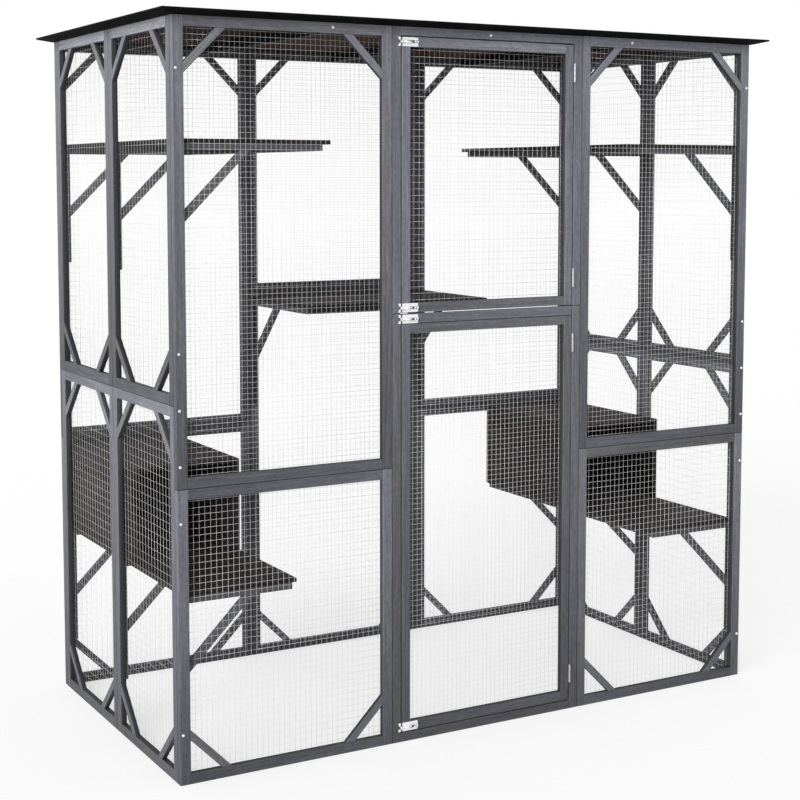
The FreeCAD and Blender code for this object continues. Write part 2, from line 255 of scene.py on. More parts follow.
WALLS = {
    "front": Wall((0, BODY_LOW.y, 0), (1, 0, 0), (0, 1, 0)),
    "back": Wall((0, BODY_HIGH.y, 0), (1, 0, 0), (0, -1, 0)),
    "left": Wall((BODY_LOW.x, 0, 0), (0, 1, 0), (1, 0, 0)),
    "right": Wall((BODY_HIGH.x, 0, 0), (0, 1, 0), (-1, 0, 0)),
}


# Materials

def put(tree, kind, inputs=None, **settings):
    """Adds a node whose inputs take plain values or the outputs of other nodes."""
    made = tree.nodes.new(kind)
    for name, value in settings.items():
        setattr(made, name, value)
    for name, value in (inputs or {}).items():
        if isinstance(value, bpy.types.NodeSocket):
            tree.links.new(value, made.inputs[name])
        else:
            made.inputs[name].default_value = value
    return made


def new_material(name):
    """An empty material with its node tree and its surface shader."""
    made = bpy.data.materials.new(name)
    made.use_nodes = True
    return made, made.node_tree, made.node_tree.nodes["Principled BSDF"]


def attribute(tree, name, output="Vector"):
    """What a piece's own attribute holds."""
    return put(tree, "ShaderNodeAttribute", attribute_name=name).outputs[output]


def object_place(tree):
    """Where a point lies in the frame."""
    return put(tree, "ShaderNodeTexCoord").outputs["Object"]


def speckle(tree, place, per_metre, detail=4.0, distortion=0.0):
    """Noise with so many features to the metre along each axis."""
    scaled = put(tree, "ShaderNodeMapping", {"Vector": place, "Scale": per_metre}).outputs["Vector"]
    inputs = {"Vector": scaled, "Scale": 1.0, "Detail": detail, "Distortion": distortion}
    return put(tree, "ShaderNodeTexNoise", inputs).outputs["Fac"]


def ramp(tree, factor, *stops):
    """A run of colours through stops of a place from 0 to 1 and a colour."""
    made = put(tree, "ShaderNodeValToRGB", {"Fac": factor})
    elements = made.color_ramp.elements
    elements.remove(elements[1])
    elements[0].position = stops[0][0]
    elements[0].color = (*stops[0][1], 1)
    for place, colour in stops[1:]:
        elements.new(place).color = (*colour, 1)
    return made.outputs["Color"]


def between(tree, value, old, new):
    """A value brought from one range into another, and kept inside it."""
    inputs = {"Value": value}
    inputs.update({"From Min": old[0], "From Max": old[1]})
    inputs.update({"To Min": new[0], "To Max": new[1]})
    return put(tree, "ShaderNodeMapRange", inputs).outputs["Result"]


def mix(tree, factor, first, second, blend_type="MIX"):
    """Two colours mixed by a factor."""
    inputs = {0: factor, 6: first, 7: second}
    return put(tree, "ShaderNodeMix", inputs, data_type="RGBA", blend_type=blend_type).outputs[2]


def reckon(tree, operation, first, second):
    """One sum on two values."""
    return put(tree, "ShaderNodeMath", {0: first, 1: second}, operation=operation).outputs[0]


def grey(tree, value):
    """A number as a grey colour."""
    inputs = {"Red": value, "Green": value, "Blue": value}
    return put(tree, "ShaderNodeCombineColor", inputs).outputs["Color"]


def shaded(tree, colour, value, old, new):
    """A colour made darker and lighter by a value that is brought from one range into another."""
    return mix(tree, 1.0, colour, grey(tree, between(tree, value, old, new)), "MULTIPLY")


def raised(tree, surface, height, distance, strength):
    """Relief on a surface from the value of its height."""
    inputs = {"Height": height, "Distance": distance, "Strength": strength}
    bump = put(tree, "ShaderNodeBump", inputs)
    tree.links.new(bump.outputs["Normal"], surface.inputs["Normal"])


def near_edge(tree, reach):
    """1 on the edges of a board, down to 0 at the reach from them."""
    inputs = {0: attribute(tree, "from_middle")}
    away = put(tree, "ShaderNodeVectorMath", inputs, operation="ABSOLUTE").outputs["Vector"]
    inputs = {0: attribute(tree, "half_size"), 1: away}
    gaps = put(tree, "ShaderNodeVectorMath", inputs, operation="SUBTRACT").outputs["Vector"]
    x, y, z = put(tree, "ShaderNodeSeparateXYZ", {"Vector": gaps}).outputs
    lesser = reckon(tree, "MINIMUM", x, y)
    greater = reckon(tree, "MAXIMUM", x, y)
    second_least = reckon(tree, "MAXIMUM", lesser, reckon(tree, "MINIMUM", greater, z))
    return between(tree, second_least, (0, reach), (1, 0))


def painted_timber(name, gloss):
    """Softwood under thin grey paint, with its grain showing; painted shade darkens the sides of
    openings, the inner faces and the joints.
    """
    made, tree, surface = new_material(name)
    place = attribute(tree, "grain")
    fibres = speckle(tree, place, (9, 520, 520), 6, 0.6)
    streaks = speckle(tree, place, (2.5, 120, 120), 4, 0.9)
    flecks = speckle(tree, place, (45, 620, 620), 2)
    mottle = speckle(tree, place, (70, 170, 170), 3)
    colour = ramp(
        tree,
        fibres,
        (0.28, (0.096, 0.098, 0.112)),
        (0.50, (0.134, 0.137, 0.157)),
        (0.74, (0.186, 0.190, 0.216)),
    )
    colour = shaded(tree, colour, streaks, (0.3, 0.7), (0.84, 1.12))
    colour = shaded(tree, colour, mottle, (0.3, 0.7), (0.84, 1.16))
    paler = (0.25, 0.255, 0.275, 1)
    colour = mix(tree, between(tree, flecks, (0.66, 0.80), (0, 0.35)), colour, paler)
    worn_fibres = between(tree, fibres, (0.35, 0.65), (0.0, 0.35))
    rubbed = reckon(tree, "MULTIPLY", near_edge(tree, 2.4 * MM), worn_fibres)
    colour = mix(tree, rubbed, colour, paler)
    # The board's tone, painted light and shade included
    colour = mix(tree, 1.0, colour, attribute(tree, "tone", "Color"), "MULTIPLY")
    # Painted shade on the sides of openings, the inner faces and the joints
    colour = shaded(tree, colour, attribute(tree, "painted_shade", "Fac"), (0, 1), (1.0, FULL_SHADE_LEFT))
    tree.links.new(colour, surface.inputs["Base Color"])
    tree.links.new(between(tree, fibres, (0.3, 0.7), (0.68, 0.52)), surface.inputs["Roughness"])
    surface.inputs["Specular IOR Level"].default_value = gloss
    raised(tree, surface, fibres, 0.5 * MM, 0.3)
    return made


def dark_board():
    """Thin board stained dark brown, with a faint grain, scuffed edges and painted shade on the
    inner sides of the boxes.
    """
    made, tree, surface = new_material("dark_board")
    place = attribute(tree, "grain")
    fibres = speckle(tree, place, (5, 240, 240), 5, 0.6)
    clouds = speckle(tree, place, (6, 6, 6), 3)
    colour = ramp(
        tree,
        fibres,
        (0.30, (0.012, 0.0088, 0.0082)),
        (0.55, (0.023, 0.0175, 0.0165)),
        (0.78, (0.040, 0.032, 0.030)),
    )
    colour = shaded(tree, colour, clouds, (0.3, 0.7), (0.8, 1.25))
    worn_patches = between(tree, clouds, (0.4, 0.6), (0.1, 0.6))
    scuffed = reckon(tree, "MULTIPLY", near_edge(tree, 2 * MM), worn_patches)
    colour = mix(tree, scuffed, colour, (0.085, 0.073, 0.068, 1))
    # Painted shade on the inner sides of the boxes; the inner faces are left as they are
    painted_shade = attribute(tree, "painted_shade", "Fac")
    colour = shaded(tree, colour, painted_shade, (INNER_FACE_SHADE, 1), (1.0, FULL_SHADE_LEFT))
    tree.links.new(colour, surface.inputs["Base Color"])
    tree.links.new(between(tree, fibres, (0.3, 0.7), (0.80, 0.65)), surface.inputs["Roughness"])
    surface.inputs["Specular IOR Level"].default_value = 0.12
    raised(tree, surface, fibres, 0.3 * MM, 0.3)
    return made


def roof_board_wood():
    """Reddish brown roof boards with darker bands."""
    made, tree, surface = new_material("roof_board_wood")
    place = attribute(tree, "grain")
    fibres = speckle(tree, place, (5, 300, 300), 6, 0.5)
    bands = speckle(tree, place, (0.8, 26, 26), 2, 1.6)
    colour = ramp(
        tree,
        fibres,
        (0.30, (0.024, 0.0085, 0.005)),
        (0.52, (0.056, 0.021, 0.012)),
        (0.76, (0.105, 0.043, 0.025)),
    )
    colour = shaded(tree, colour, bands, (0.35, 0.65), (0.6, 1.2))
    tree.links.new(colour, surface.inputs["Base Color"])
    tree.links.new(between(tree, fibres, (0.3, 0.7), (0.9, 0.75)), surface.inputs["Roughness"])
    surface.inputs["Specular IOR Level"].default_value = 0.08
    raised(tree, surface, fibres, 0.5 * MM, 0.3)
    return made


def roof_felt_finish():
    """Black roofing felt with a fine mineral grit, greyed by the weather on its upper side."""
    made, tree, surface = new_material("roof_felt")
    place = object_place(tree)
    grit = speckle(tree, place, (900, 900, 900), 2)
    clouds = speckle(tree, place, (14, 9, 9), 6)
    colour = ramp(
        tree,
        grit,
        (0.35, (0.0025, 0.0025, 0.003)),
        (0.60, (0.006, 0.006, 0.0065)),
        (0.78, (0.026, 0.026, 0.028)),
    )
    colour = shaded(tree, colour, clouds, (0.35, 0.65), (0.6, 1.5))
    weathered = attribute(tree, "weathered", "Fac")
    colour = shaded(tree, colour, weathered, (0, 0.25), (1, FELT_BLEACHED))
    tree.links.new(colour, surface.inputs["Base Color"])
    tree.links.new(between(tree, grit, (0.3, 0.7), (0.95, 0.75)), surface.inputs["Roughness"])
    surface.inputs["Specular IOR Level"].default_value = 0.06
    raised(tree, surface, grit, 0.6 * MM, 0.6)
    return made


def galvanised_wire():
    """Dull zinc on drawn wire, lighter and darker in short stretches."""
    made, tree, surface = new_material("galvanised_wire")
    place = object_place(tree)
    spangle = speckle(tree, place, (160, 160, 160), 3)
    colour = ramp(
        tree,
        spangle,
        (0.30, (0.84, 0.84, 0.84)),
        (0.52, (0.90, 0.90, 0.90)),
        (0.75, (0.96, 0.96, 0.96)),
    )
    tree.links.new(colour, surface.inputs["Base Color"])
    tree.links.new(between(tree, spangle, (0.3, 0.7), (0.45, 0.30)), surface.inputs["Roughness"])
    surface.inputs["Metallic"].default_value = 0.5
    raised(tree, surface, spangle, 0.05 * MM, 0.3)
    return made


def zinc_hardware(name, shade):
    """Zinc plate on steel, with fine drawn lines, a few dull spots, and painted shade, near black
    and matt, on the bolts where they run in the barrel.
    """
    made, tree, surface = new_material(name)
    place = object_place(tree)
    lines = speckle(tree, place, (400, 400, 2600), 2)
    spots = speckle(tree, place, (220, 220, 220), 4)
    colour = ramp(
        tree,
        spots,
        (0.28, (0.68 * shade, 0.69 * shade, 0.71 * shade)),
        (0.45, (0.89 * shade, 0.89 * shade, 0.90 * shade)),
        (0.80, (0.97 * shade, 0.97 * shade, 0.97 * shade)),
    )
    # Painted shade: the bolt inside its barrel turns near black, matt and not metallic
    barrel_shade = attribute(tree, "barrel_shade", "Fac")
    colour = mix(tree, barrel_shade, colour, (0.006, 0.006, 0.006, 1))
    tree.links.new(colour, surface.inputs["Base Color"])
    roughness = between(tree, lines, (0.3, 0.7), (0.30, 0.46))
    tree.links.new(reckon(tree, "MAXIMUM", roughness, barrel_shade), surface.inputs["Roughness"])
    tree.links.new(between(tree, barrel_shade, (0, 1), (0.75, 0)), surface.inputs["Metallic"])
    raised(tree, surface, lines, 0.03 * MM, 0.25)
    return made


FINISHES = {
    "painted_timber": painted_timber("painted_timber", PAINT_GLOSS),
    "dark_board": dark_board(),
    "roof_board_wood": roof_board_wood(),
    "roof_felt": roof_felt_finish(),
    "galvanised_wire": galvanised_wire(),
    "zinc_hardware": zinc_hardware("zinc_hardware", 1.0),
}
HINGE_ZINC = zinc_hardware("hinge_zinc", 0.5)
RAFTER_PAINT = painted_timber("rafter_timber", RAFTER_GLOSS)


# Making pieces

def verts_in(geometry):
    """The points among what an operator made."""
    return [part for part in geometry if isinstance(part, bmesh.types.BMVert)]


def rim_in(geometry):
    """The open edges among what an operator made."""
    edges = [part for part in geometry if isinstance(part, bmesh.types.BMEdge)]
    return [edge for edge in edges if edge.is_boundary]


def new_since(mesh, before):
    """The points that a mesh has gained."""
    return [vert for vert in mesh.verts if vert not in before]


def faces_on(verts):
    """Each face that touches some points, once."""
    return {face for vert in verts for face in vert.link_faces}


def ease(mesh, edges, size, steps):
    """Rounds edges off, and returns the faces made."""
    return bmesh.ops.bevel(
        mesh, geom=edges, offset=size, segments=steps, profile=0.5, affect="EDGES", material=-1
    )["faces"]


def hand_over(name, mesh, finish, body, nodes=()):
    """Turns a finished mesh into a piece that rides its body and stands for its nodes."""
    data = bpy.data.meshes.new(name)
    mesh.to_mesh(data)
    mesh.free()
    data.materials.append(FINISHES[finish])
    piece = bpy.data.objects.new(name, data)
    bpy.context.scene.collection.objects.link(piece)
    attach(piece, body)
    if nodes:
        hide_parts(*nodes)
    return piece


def body_of(node):
    """The body that a node belongs to."""
    return frame["nodes"][node]["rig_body"]


class Joinery:
    """A mesh of separate boards, each with eased edges, its own grain and its own tone, which holds
    painted light and shade.
    """

    def __init__(self):
        self.mesh = bmesh.new()
        layers = self.mesh.verts.layers
        self.grain = layers.float_vector.new("grain")
        self.from_middle = layers.float_vector.new("from_middle")
        self.half_size = layers.float_vector.new("half_size")
        self.tone = layers.float_color.new("tone")
        self.painted_shade = layers.float.new("painted_shade")

    def board(self, outline, depth, along, edge=EASED_EDGE, tones=(1, 1), shaded_sides=(), joined=()):
        """A board from its outline and depth, with its grain's way, the sides that get painted
        shade and the sides joined to another board.
        """
        before = set(self.mesh.verts)
        face = self.mesh.faces.new([self.mesh.verts.new(point) for point in outline])
        start = [face, *face.edges, *face.verts]
        grown = bmesh.ops.extrude_face_region(self.mesh, geom=start, use_keep_orig=True)["geom"]
        bmesh.ops.translate(self.mesh, vec=depth, verts=verts_in(grown))
        corners = new_since(self.mesh, before)
        edges = list({edge for vert in corners for edge in vert.link_edges})
        bmesh.ops.recalc_face_normals(self.mesh, faces=list(faces_on(corners)))
        for face in ease(self.mesh, edges, edge, 2):
            face.smooth = True
        fresh = new_since(self.mesh, before)
        self.mark(fresh, along.normalized(), depth.normalized(), tones)
        # Painted shade: the sides that face an opening are darkened, and the inner face less so
        for face in faces_on(fresh):
            face.normal_update()
            if any(face.normal.dot(way) > FACING for way in shaded_sides):
                self.paint_side_shade(face)
            elif face.normal.dot(depth.normalized()) > FACING:
                for vert in face.verts:
                    vert[self.painted_shade] = INNER_FACE_SHADE
        # Painted shade where the board meets a neighbour
        for way in joined:
            self.darken_joint(fresh, way, edge)

    def mark(self, verts, along, through, tones):
        """Writes where each point lies in its own board, and the tone there, painted light and
        shade included.
        """
        across = along.cross(through)
        places = [Vector((v.co.dot(along), v.co.dot(across), v.co.dot(through))) for v in verts]
        low = Vector([min(place[axis] for place in places) for axis in range(3)])
        high = Vector([max(place[axis] for place in places) for axis in range(3)])
        shift = Vector([random.uniform(-GRAIN_SHIFT, GRAIN_SHIFT) for axis in range(3)])
        level = random.uniform(1 - TONE_SPREAD, 1 + TONE_SPREAD)
        warmth = random.uniform(-1, 1)
        for vert, place in zip(verts, places):
            part = (place.x - low.x) / (high.x - low.x)
            tone = level * (tones[0] + (tones[1] - tones[0]) * part)
            vert[self.grain] = place + shift
            vert[self.from_middle] = place - (low + high) / 2
            vert[self.half_size] = (high - low) / 2
            vert[self.tone] = [*(tone * (1 + warmth * turn) for turn in WARMTH), 1]

    def paint_side_shade(self, face):
        """Paints shade on a side that faces an opening, darkest at its inner edge."""
        for vert in face.verts:
            part = vert[self.from_middle].z / vert[self.half_size].z
            vert[self.painted_shade] = REVEAL_SHADE + (1 - REVEAL_SHADE) * (part + 1) / 2

    def darken_joint(self, verts, way, edge):
        """Paints shade on a side that meets another board, and on the eased edges round it."""
        side = max(vert.co.dot(way) for vert in verts)
        for vert in verts:
            part = (side - vert.co.dot(way)) / edge
            if part < JOINT_REACH:
                vert[self.painted_shade] = 1 - part

    def bar(self, wall, u, v, w, along, edge=EASED_EDGE, tones=(1, 1), shaded_sides=(), joined=()):
        """A straight board on a wall, between the two values of each pair."""
        corners = [(u[0], v[0]), (u[1], v[0]), (u[1], v[1]), (u[0], v[1])]
        outline = [wall.point(a, b, w[0]) for a, b in corners]
        self.board(outline, wall.inward * (w[1] - w[0]), along, edge, tones, shaded_sides, joined)


def corner_brace(joinery, wall, corner, turn_u, turn_v):
    """A 45 degree brace across a corner of an opening, reaching the way of the two turns."""
    inner_leg = BRACE_LEG - BRACE_WIDTH * sqrt(2)
    legs = [(BRACE_LEG, 0), (inner_leg, 0), (0, inner_leg), (0, BRACE_LEG)]
    outline = [wall.point(corner[0] + turn_u * a, corner[1] + turn_v * b, 0) for a, b in legs]
    outward = (wall.along * turn_u + UP * turn_v).normalized()
    # Painted light and shade: braces at the foot darker, at the head paler, and painted shade on
    # both long sides
    tone = FOOT_BRACE_TONE if turn_v > 0 else HEAD_BRACE_TONE
    joinery.board(
        outline,
        wall.inward * BRACE_THICK,
        wall.along * turn_u - UP * turn_v,
        tones=(tone, tone),
        shaded_sides=(outward, -outward),
    )


def framed_panel(joinery, wall, u, v, sizes, tones, meets):
    """Two stiles with two rails between, with painted shade where they meet a neighbour. Returns
    the opening.
    """
    stile, foot, head = sizes
    stile_tones, foot_tones, head_tones = tones
    inner_u = (u[0] + stile, u[1] - stile)
    inner_v = (v[0] + foot, v[1] - head)
    outer_u = (u[0] + PANEL_GAP, u[1] - PANEL_GAP)
    outer_v = (v[0] + PANEL_GAP if v[0] > 0 else v[0], v[1] - PANEL_GAP)
    rail_u = (inner_u[0] + PANEL_GAP / 2, inner_u[1] - PANEL_GAP / 2)
    thick = (0, PANEL_THICK)
    left, right = (outer_u[0], inner_u[0]), (inner_u[1], outer_u[1])
    # Painted shade on the sides that face the opening and where boards meet a neighbour
    for span, way in ((left, wall.along), (right, -wall.along)):
        joined = [side for side in meets if side != way]
        joinery.bar(wall, span, outer_v, thick, UP, tones=stile_tones, shaded_sides=(way,), joined=joined)
    low, high = (outer_v[0], inner_v[0]), (inner_v[1], outer_v[1])
    along = wall.along
    for span, paint, way in ((low, foot_tones, UP), (high, head_tones, -UP)):
        joined = [side for side in meets if side == -way]
        joinery.bar(wall, rail_u, span, thick, along, tones=paint, shaded_sides=(way,), joined=joined)
    return inner_u, inner_v


def straight_rod(mesh, start, end, radius, sides):
    """A rod from one point to the other, smooth along its sides."""
    run = end - start
    turn = run.to_track_quat("Z", "Y").to_matrix().to_4x4()
    place = Matrix.Translation((start + end) / 2) @ turn
    made = bmesh.ops.create_cone(
        mesh,
        cap_ends=True,
        segments=sides,
        radius1=radius,
        radius2=radius,
        depth=run.length,
        matrix=place,
    )
    for face in faces_on(made["verts"]):
        face.smooth = len(face.verts) == 4


def welded_wire(mesh, wall, inner_u, inner_v, pitch):
    """Upright and lying wires over an opening, lapped onto the inner faces of its frame."""
    left, right = inner_u[0] - WIRE_LAP, inner_u[1] + WIRE_LAP
    low, high = inner_v[0] - WIRE_LAP, inner_v[1] + WIRE_LAP
    upright_w = PANEL_THICK + WIRE_RADIUS
    lying_w = upright_w + WIRE_WELD
    columns = round((right - left) / pitch[0])
    rows = round((high - low) / pitch[1])
    for column in range(columns + 1):
        u = left + WIRE_RADIUS + (right - left - 2 * WIRE_RADIUS) * column / columns
        foot, head = wall.point(u, low, upright_w), wall.point(u, high, upright_w)
        straight_rod(mesh, foot, head, WIRE_RADIUS, WIRE_SIDES)
    for row in range(rows + 1):
        v = low + WIRE_RADIUS + (high - low - 2 * WIRE_RADIUS) * row / rows
        start, end = wall.point(left, v, lying_w), wall.point(right, v, lying_w)
        straight_rod(mesh, start, end, WIRE_RADIUS, WIRE_SIDES)


def front_pitch(height):
    """The pitch of the wire in a panel of the front, the back or a door, by its height."""
    return TALL_PITCH if height > TALL_PANEL else SHORT_PITCH


# Walls

def build_walls():
    """The fixed panels of each wall, and the wire on the inside of the wall."""
    for side, wall in WALLS.items():
        wire = bmesh.new()
        at_side = side in ("left", "right")
        panels = [n for n in frame["nodes"] if n.startswith(f"{side}_") and n.endswith("_panel")]
        for node in sorted(panels):
            low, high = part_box(node)
            # Painted light and shade: rails paler at the front end of a side wall and towards the
            # middle of the front and back, low rails darker, top rails paler against the roof's
            # shade, side walls' head rails paler as if lit from the left
            ends = (RAIL_NEAR, RAIL_FAR) if at_side or low.x > 0 else (RAIL_FAR, RAIL_NEAR)
            foot_tone = FOOT_RAIL_TONE if low.z > 0 else GROUND_RAIL_TONE
            head_tone = TOP_RAIL_TONE if "upper" in node else HEAD_RAIL_TONE
            if at_side:
                head_tone *= SIDE_RAIL_GAIN
            foot_tones = [foot_tone * end for end in ends]
            head_tones = [head_tone * end for end in ends]
            tones = (STILE_TONES, foot_tones, head_tones)
            sizes = (STILE, RAIL, RAIL)
            u = wall.span(low, high)
            ways = zip(u, (-wall.along, wall.along))
            meets = [way for end, way in ways if abs(end) < BODY_HIGH.x - MM]
            meets += [UP, -UP] if low.z > 0 else [UP]
            joinery = Joinery()
            opening = framed_panel(joinery, wall, u, (low.z, high.z), sizes, tones, meets)
            inner_u, inner_v = opening
            for row, height, turn_v in (("lower", inner_v[0], 1), ("upper", inner_v[1], -1)):
                if at_side or row in node:
                    corner_brace(joinery, wall, (inner_u[0], height), 1, turn_v)
                    corner_brace(joinery, wall, (inner_u[1], height), -1, turn_v)
            pitch = SIDE_PITCH if at_side else front_pitch(high.z - low.z)
            welded_wire(wire, wall, *opening, pitch)
            hand_over(f"{node}_boards", joinery.mesh, "painted_timber", body_of(node), [node])
        node = f"{side}_wire_mesh"
        hand_over(f"{side}_welded_wire", wire, "galvanised_wire", body_of(node), [node])


def build_door_surround():
    """Jambs beside both doors, a sill under the lower one and a header over the upper one."""
    wall = WALLS["front"]
    thick = (0, PANEL_THICK)
    for door in ("lower", "upper"):
        node = f"{door}_door_surround"
        low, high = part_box(node)
        left, right = wall.span(low, high)
        height = (low.z, high.z - PANEL_GAP)
        joinery = Joinery()
        end = UP if door == "lower" else -UP
        jambs = ((left + PANEL_GAP, left + JAMB), (right - JAMB, right - PANEL_GAP))
        # Painted light and shade: jambs darker low down and paler high up, the sill darker, the
        # header paler, and painted shade where the jambs meet their neighbours
        for span, way in zip(jambs, (-wall.along, wall.along)):
            joined = (end, way)
            joinery.bar(wall, span, height, thick, UP, tones=JAMB_TONES[door], joined=joined)
        rail, tone = (low.z, low.z + SILL), SILL_TONE
        if door == "upper":
            rail, tone = (high.z - HEADER, high.z), HEADER_TONE
        door_way = (left + JAMB, right - JAMB)
        joinery.bar(wall, door_way, rail, thick, wall.along, tones=(tone, tone))
        hand_over(f"{node}_boards", joinery.mesh, "painted_timber", body_of(node), [node])


def build_doors():
    """Two framed doors with their wire; the lower one carries a cap rail over its frame."""
    wall = WALLS["front"]
    for door in ("lower", "upper"):
        node = f"{door}_door_frame"
        low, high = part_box(node)
        u = wall.span(low, high)
        joinery = Joinery()
        # The door's tones are painted light and shade, darker low down and paler high up; painted
        # shade where the cap rail meets the frame
        head = high.z
        foot_rail = DOOR_RAIL
        meets = []
        if door == "lower":
            head = high.z - CAP_RAIL
            foot_rail = DOOR_FOOT_RAIL
            meets = [UP]
            cap = (head, high.z)
            joinery.bar(wall, u, cap, (0, PANEL_THICK), wall.along, tones=CAP_TONES, joined=(-UP,))
        sizes = (DOOR_STILE, foot_rail, DOOR_RAIL)
        tones = (DOOR_STILE_TONES[door], DOOR_FOOT_TONES[door], DOOR_HEAD_TONES[door])
        opening = framed_panel(joinery, wall, u, (low.z, head), sizes, tones, meets)
        hand_over(f"{node}_boards", joinery.mesh, "painted_timber", body_of(node), [node])
        wire = bmesh.new()
        welded_wire(wire, wall, *opening, front_pitch(high.z - low.z))
        node = f"{door}_door_wire_mesh"
        hand_over(f"{door}_door_welded_wire", wire, "galvanised_wire", body_of(node), [node])


# Shelves and sleeping boxes

def shelf_bracket(joinery, wall, middle, arm_foot, batten_foot, arm_end, tone):
    """An arm with a batten on the wall under it and a 45 degree strut between the two."""
    u = (middle - BRACKET_WIDTH / 2, middle + BRACKET_WIDTH / 2)
    across = wall.along * BRACKET_WIDTH
    batten_face = PANEL_THICK + BATTEN_THICK
    inner_leg = STRUT_LEG - STRUT_WIDTH * sqrt(2)
    arm_head = arm_foot + ARM_HEIGHT
    start = PANEL_THICK
    arm = [(start, arm_foot), (arm_end, arm_foot), (arm_end, arm_head), (start, arm_head)]
    # Arms and struts are painted darker than the walls, as painted shade under the shelf
    arm_tones = (tone * ARM_TONE, tone * ARM_TONE)
    strut_tones = (tone * STRUT_TONE, tone * STRUT_TONE)
    joinery.board([wall.point(u[0], v, w) for w, v in arm], across, wall.inward, tones=arm_tones)
    batten = (start, batten_face)
    joinery.bar(wall, u, (batten_foot, arm_foot), batten, UP, tones=strut_tones)
    legs = [(STRUT_LEG, 0), (inner_leg, 0), (0, -inner_leg), (0, -STRUT_LEG)]
    strut = [wall.point(u[0], arm_foot + b, batten_face + a) for a, b in legs]
    joinery.board(strut, across, wall.inward + UP, tones=strut_tones)


def build_shelves():
    """Each shelf: a dark board on painted arms, battens and struts."""
    for name, (side, brackets, tone) in SHELVES.items():
        wall = WALLS[side]
        node = f"{name}_board"
        low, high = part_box(node)
        board = Joinery()
        reach = wall.depth(low, high)
        board.bar(wall, wall.span(low, high), (low.z, high.z), reach, wall.along, BOARD_EDGE)
        hand_over(f"{node}_top", board.mesh, "dark_board", body_of(node), [node])
        node = f"{name}_supports"
        low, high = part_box(node)
        arm_end = wall.depth(low, high)[1]
        first, last = wall.span(low, high)
        first += BRACKET_WIDTH / 2
        last -= BRACKET_WIDTH / 2
        arm_foot = high.z - ARM_HEIGHT
        middles = [first + (last - first) * place / (brackets - 1) for place in range(brackets)]
        supports = Joinery()
        for middle in middles:
            shelf_bracket(supports, wall, middle, arm_foot, low.z, arm_end, tone)
        for near, far in zip(middles, middles[1:]):
            run = (near + BRACKET_WIDTH / 2, far - BRACKET_WIDTH / 2)
            end = (arm_end - BRACKET_WIDTH, arm_end)
            # The front rail takes the arms' painted shade
            front_tones = (tone * ARM_TONE, tone * ARM_TONE)
            supports.bar(wall, run, (arm_foot, high.z), end, wall.along, tones=front_tones)
        hand_over(f"{node}_brackets", supports.mesh, "painted_timber", body_of(node), [node])


def build_houses():
    """A box on the rear half of each platform, open to the front."""
    for side in ("left", "right"):
        wall = WALLS[side]
        node = f"{side}_house"
        low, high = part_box(node)
        u = wall.span(low, high)
        near, far = wall.depth(low, high)
        ceiling = high.z - HOUSE_BOARD
        height = (low.z, ceiling)
        boards = Joinery()
        side_depths = ((near, near + HOUSE_BOARD), (far - HOUSE_BOARD, far))
        # Painted shade on the inside of the box: under its top and on the inner sides of its walls
        boards.bar(wall, u, (ceiling, high.z), (near, far), wall.along, BOARD_EDGE, shaded_sides=(-UP,))
        for depths, way in zip(side_depths, (wall.inward, -wall.inward)):
            boards.bar(wall, u, height, depths, wall.along, BOARD_EDGE, shaded_sides=(way,))
        back = (u[1] - HOUSE_BOARD, u[1])
        between_sides = (near + HOUSE_BOARD, far - HOUSE_BOARD)
        boards.bar(wall, back, height, between_sides, UP, BOARD_EDGE, shaded_sides=(-wall.along,))
        hand_over(f"{node}_boards", boards.mesh, "dark_board", body_of(node), [node])


# Roof

def roof_sheet(mesh, x, y, top, foot, ends):
    """Felt over one roof board, folded round a thin edge at its front, back and outer ends."""
    middle = Vector(((x[0] + x[1]) / 2, (y[0] + y[1]) / 2, top))
    scale = Matrix.Diagonal((x[1] - x[0], y[1] - y[0], 1, 1))
    place = Matrix.Translation(middle) @ scale
    before = set(mesh.verts)
    across, along = FELT_SQUARES
    bmesh.ops.create_grid(mesh, x_segments=across, y_segments=along, size=0.5, matrix=place)
    flat = new_since(mesh, before)
    weathered = mesh.verts.layers.float["weathered"]
    folds = []
    for edge in {edge for vert in flat for edge in vert.link_edges if edge.is_boundary}:
        centre = (edge.verts[0].co + edge.verts[1].co) / 2
        at_side = min(abs(centre.y - y[0]), abs(centre.y - y[1])) < NEAR
        at_end = any(abs(centre.x - end) < NEAR for end in ends)
        if at_side or at_end:
            folds.append(edge)
    folded = {vert for edge in folds for vert in edge.verts}
    for vert in flat:
        vert[weathered] = 0.0 if vert in folded else 1.0
        if not vert.is_boundary:
            vert.co.z += FELT_WAVE * (noise.noise(vert.co * FELT_WAVES_PER_METRE) - 0.5)
        elif vert not in folded:
            vert.co.x += FELT_GAP if vert.co.x < middle.x else -FELT_GAP
    grown = bmesh.ops.extrude_edge_only(mesh, edges=folds)["geom"]
    lip = verts_in(grown)
    lower = [edge for edge in rim_in(grown) if all(vert in lip for vert in edge.verts)]
    bmesh.ops.translate(mesh, vec=-UP * FELT_EDGE, verts=lip)
    grown = bmesh.ops.extrude_edge_only(mesh, edges=lower)["geom"]
    for vert in verts_in(grown):
        vert.co.z = foot
        if min(abs(vert.co.y - side) for side in y) < NEAR:
            vert.co.y -= FELT_HEM if vert.co.y > 0 else -FELT_HEM
        for end in ends:
            if abs(vert.co.x - end) < NEAR:
                vert.co.x -= FELT_HEM if end > 0 else -FELT_HEM
    bmesh.ops.recalc_face_normals(mesh, faces=list(faces_on(new_since(mesh, before))))
    ease(mesh, folds, FELT_FOLD, 3)


def flat_outline(x, y, z):
    """The corners of a level board between the two values of each pair."""
    return [Vector((a, b, z)) for a, b in ((x[0], y[0]), (x[1], y[0]), (x[1], y[1]), (x[0], y[1]))]


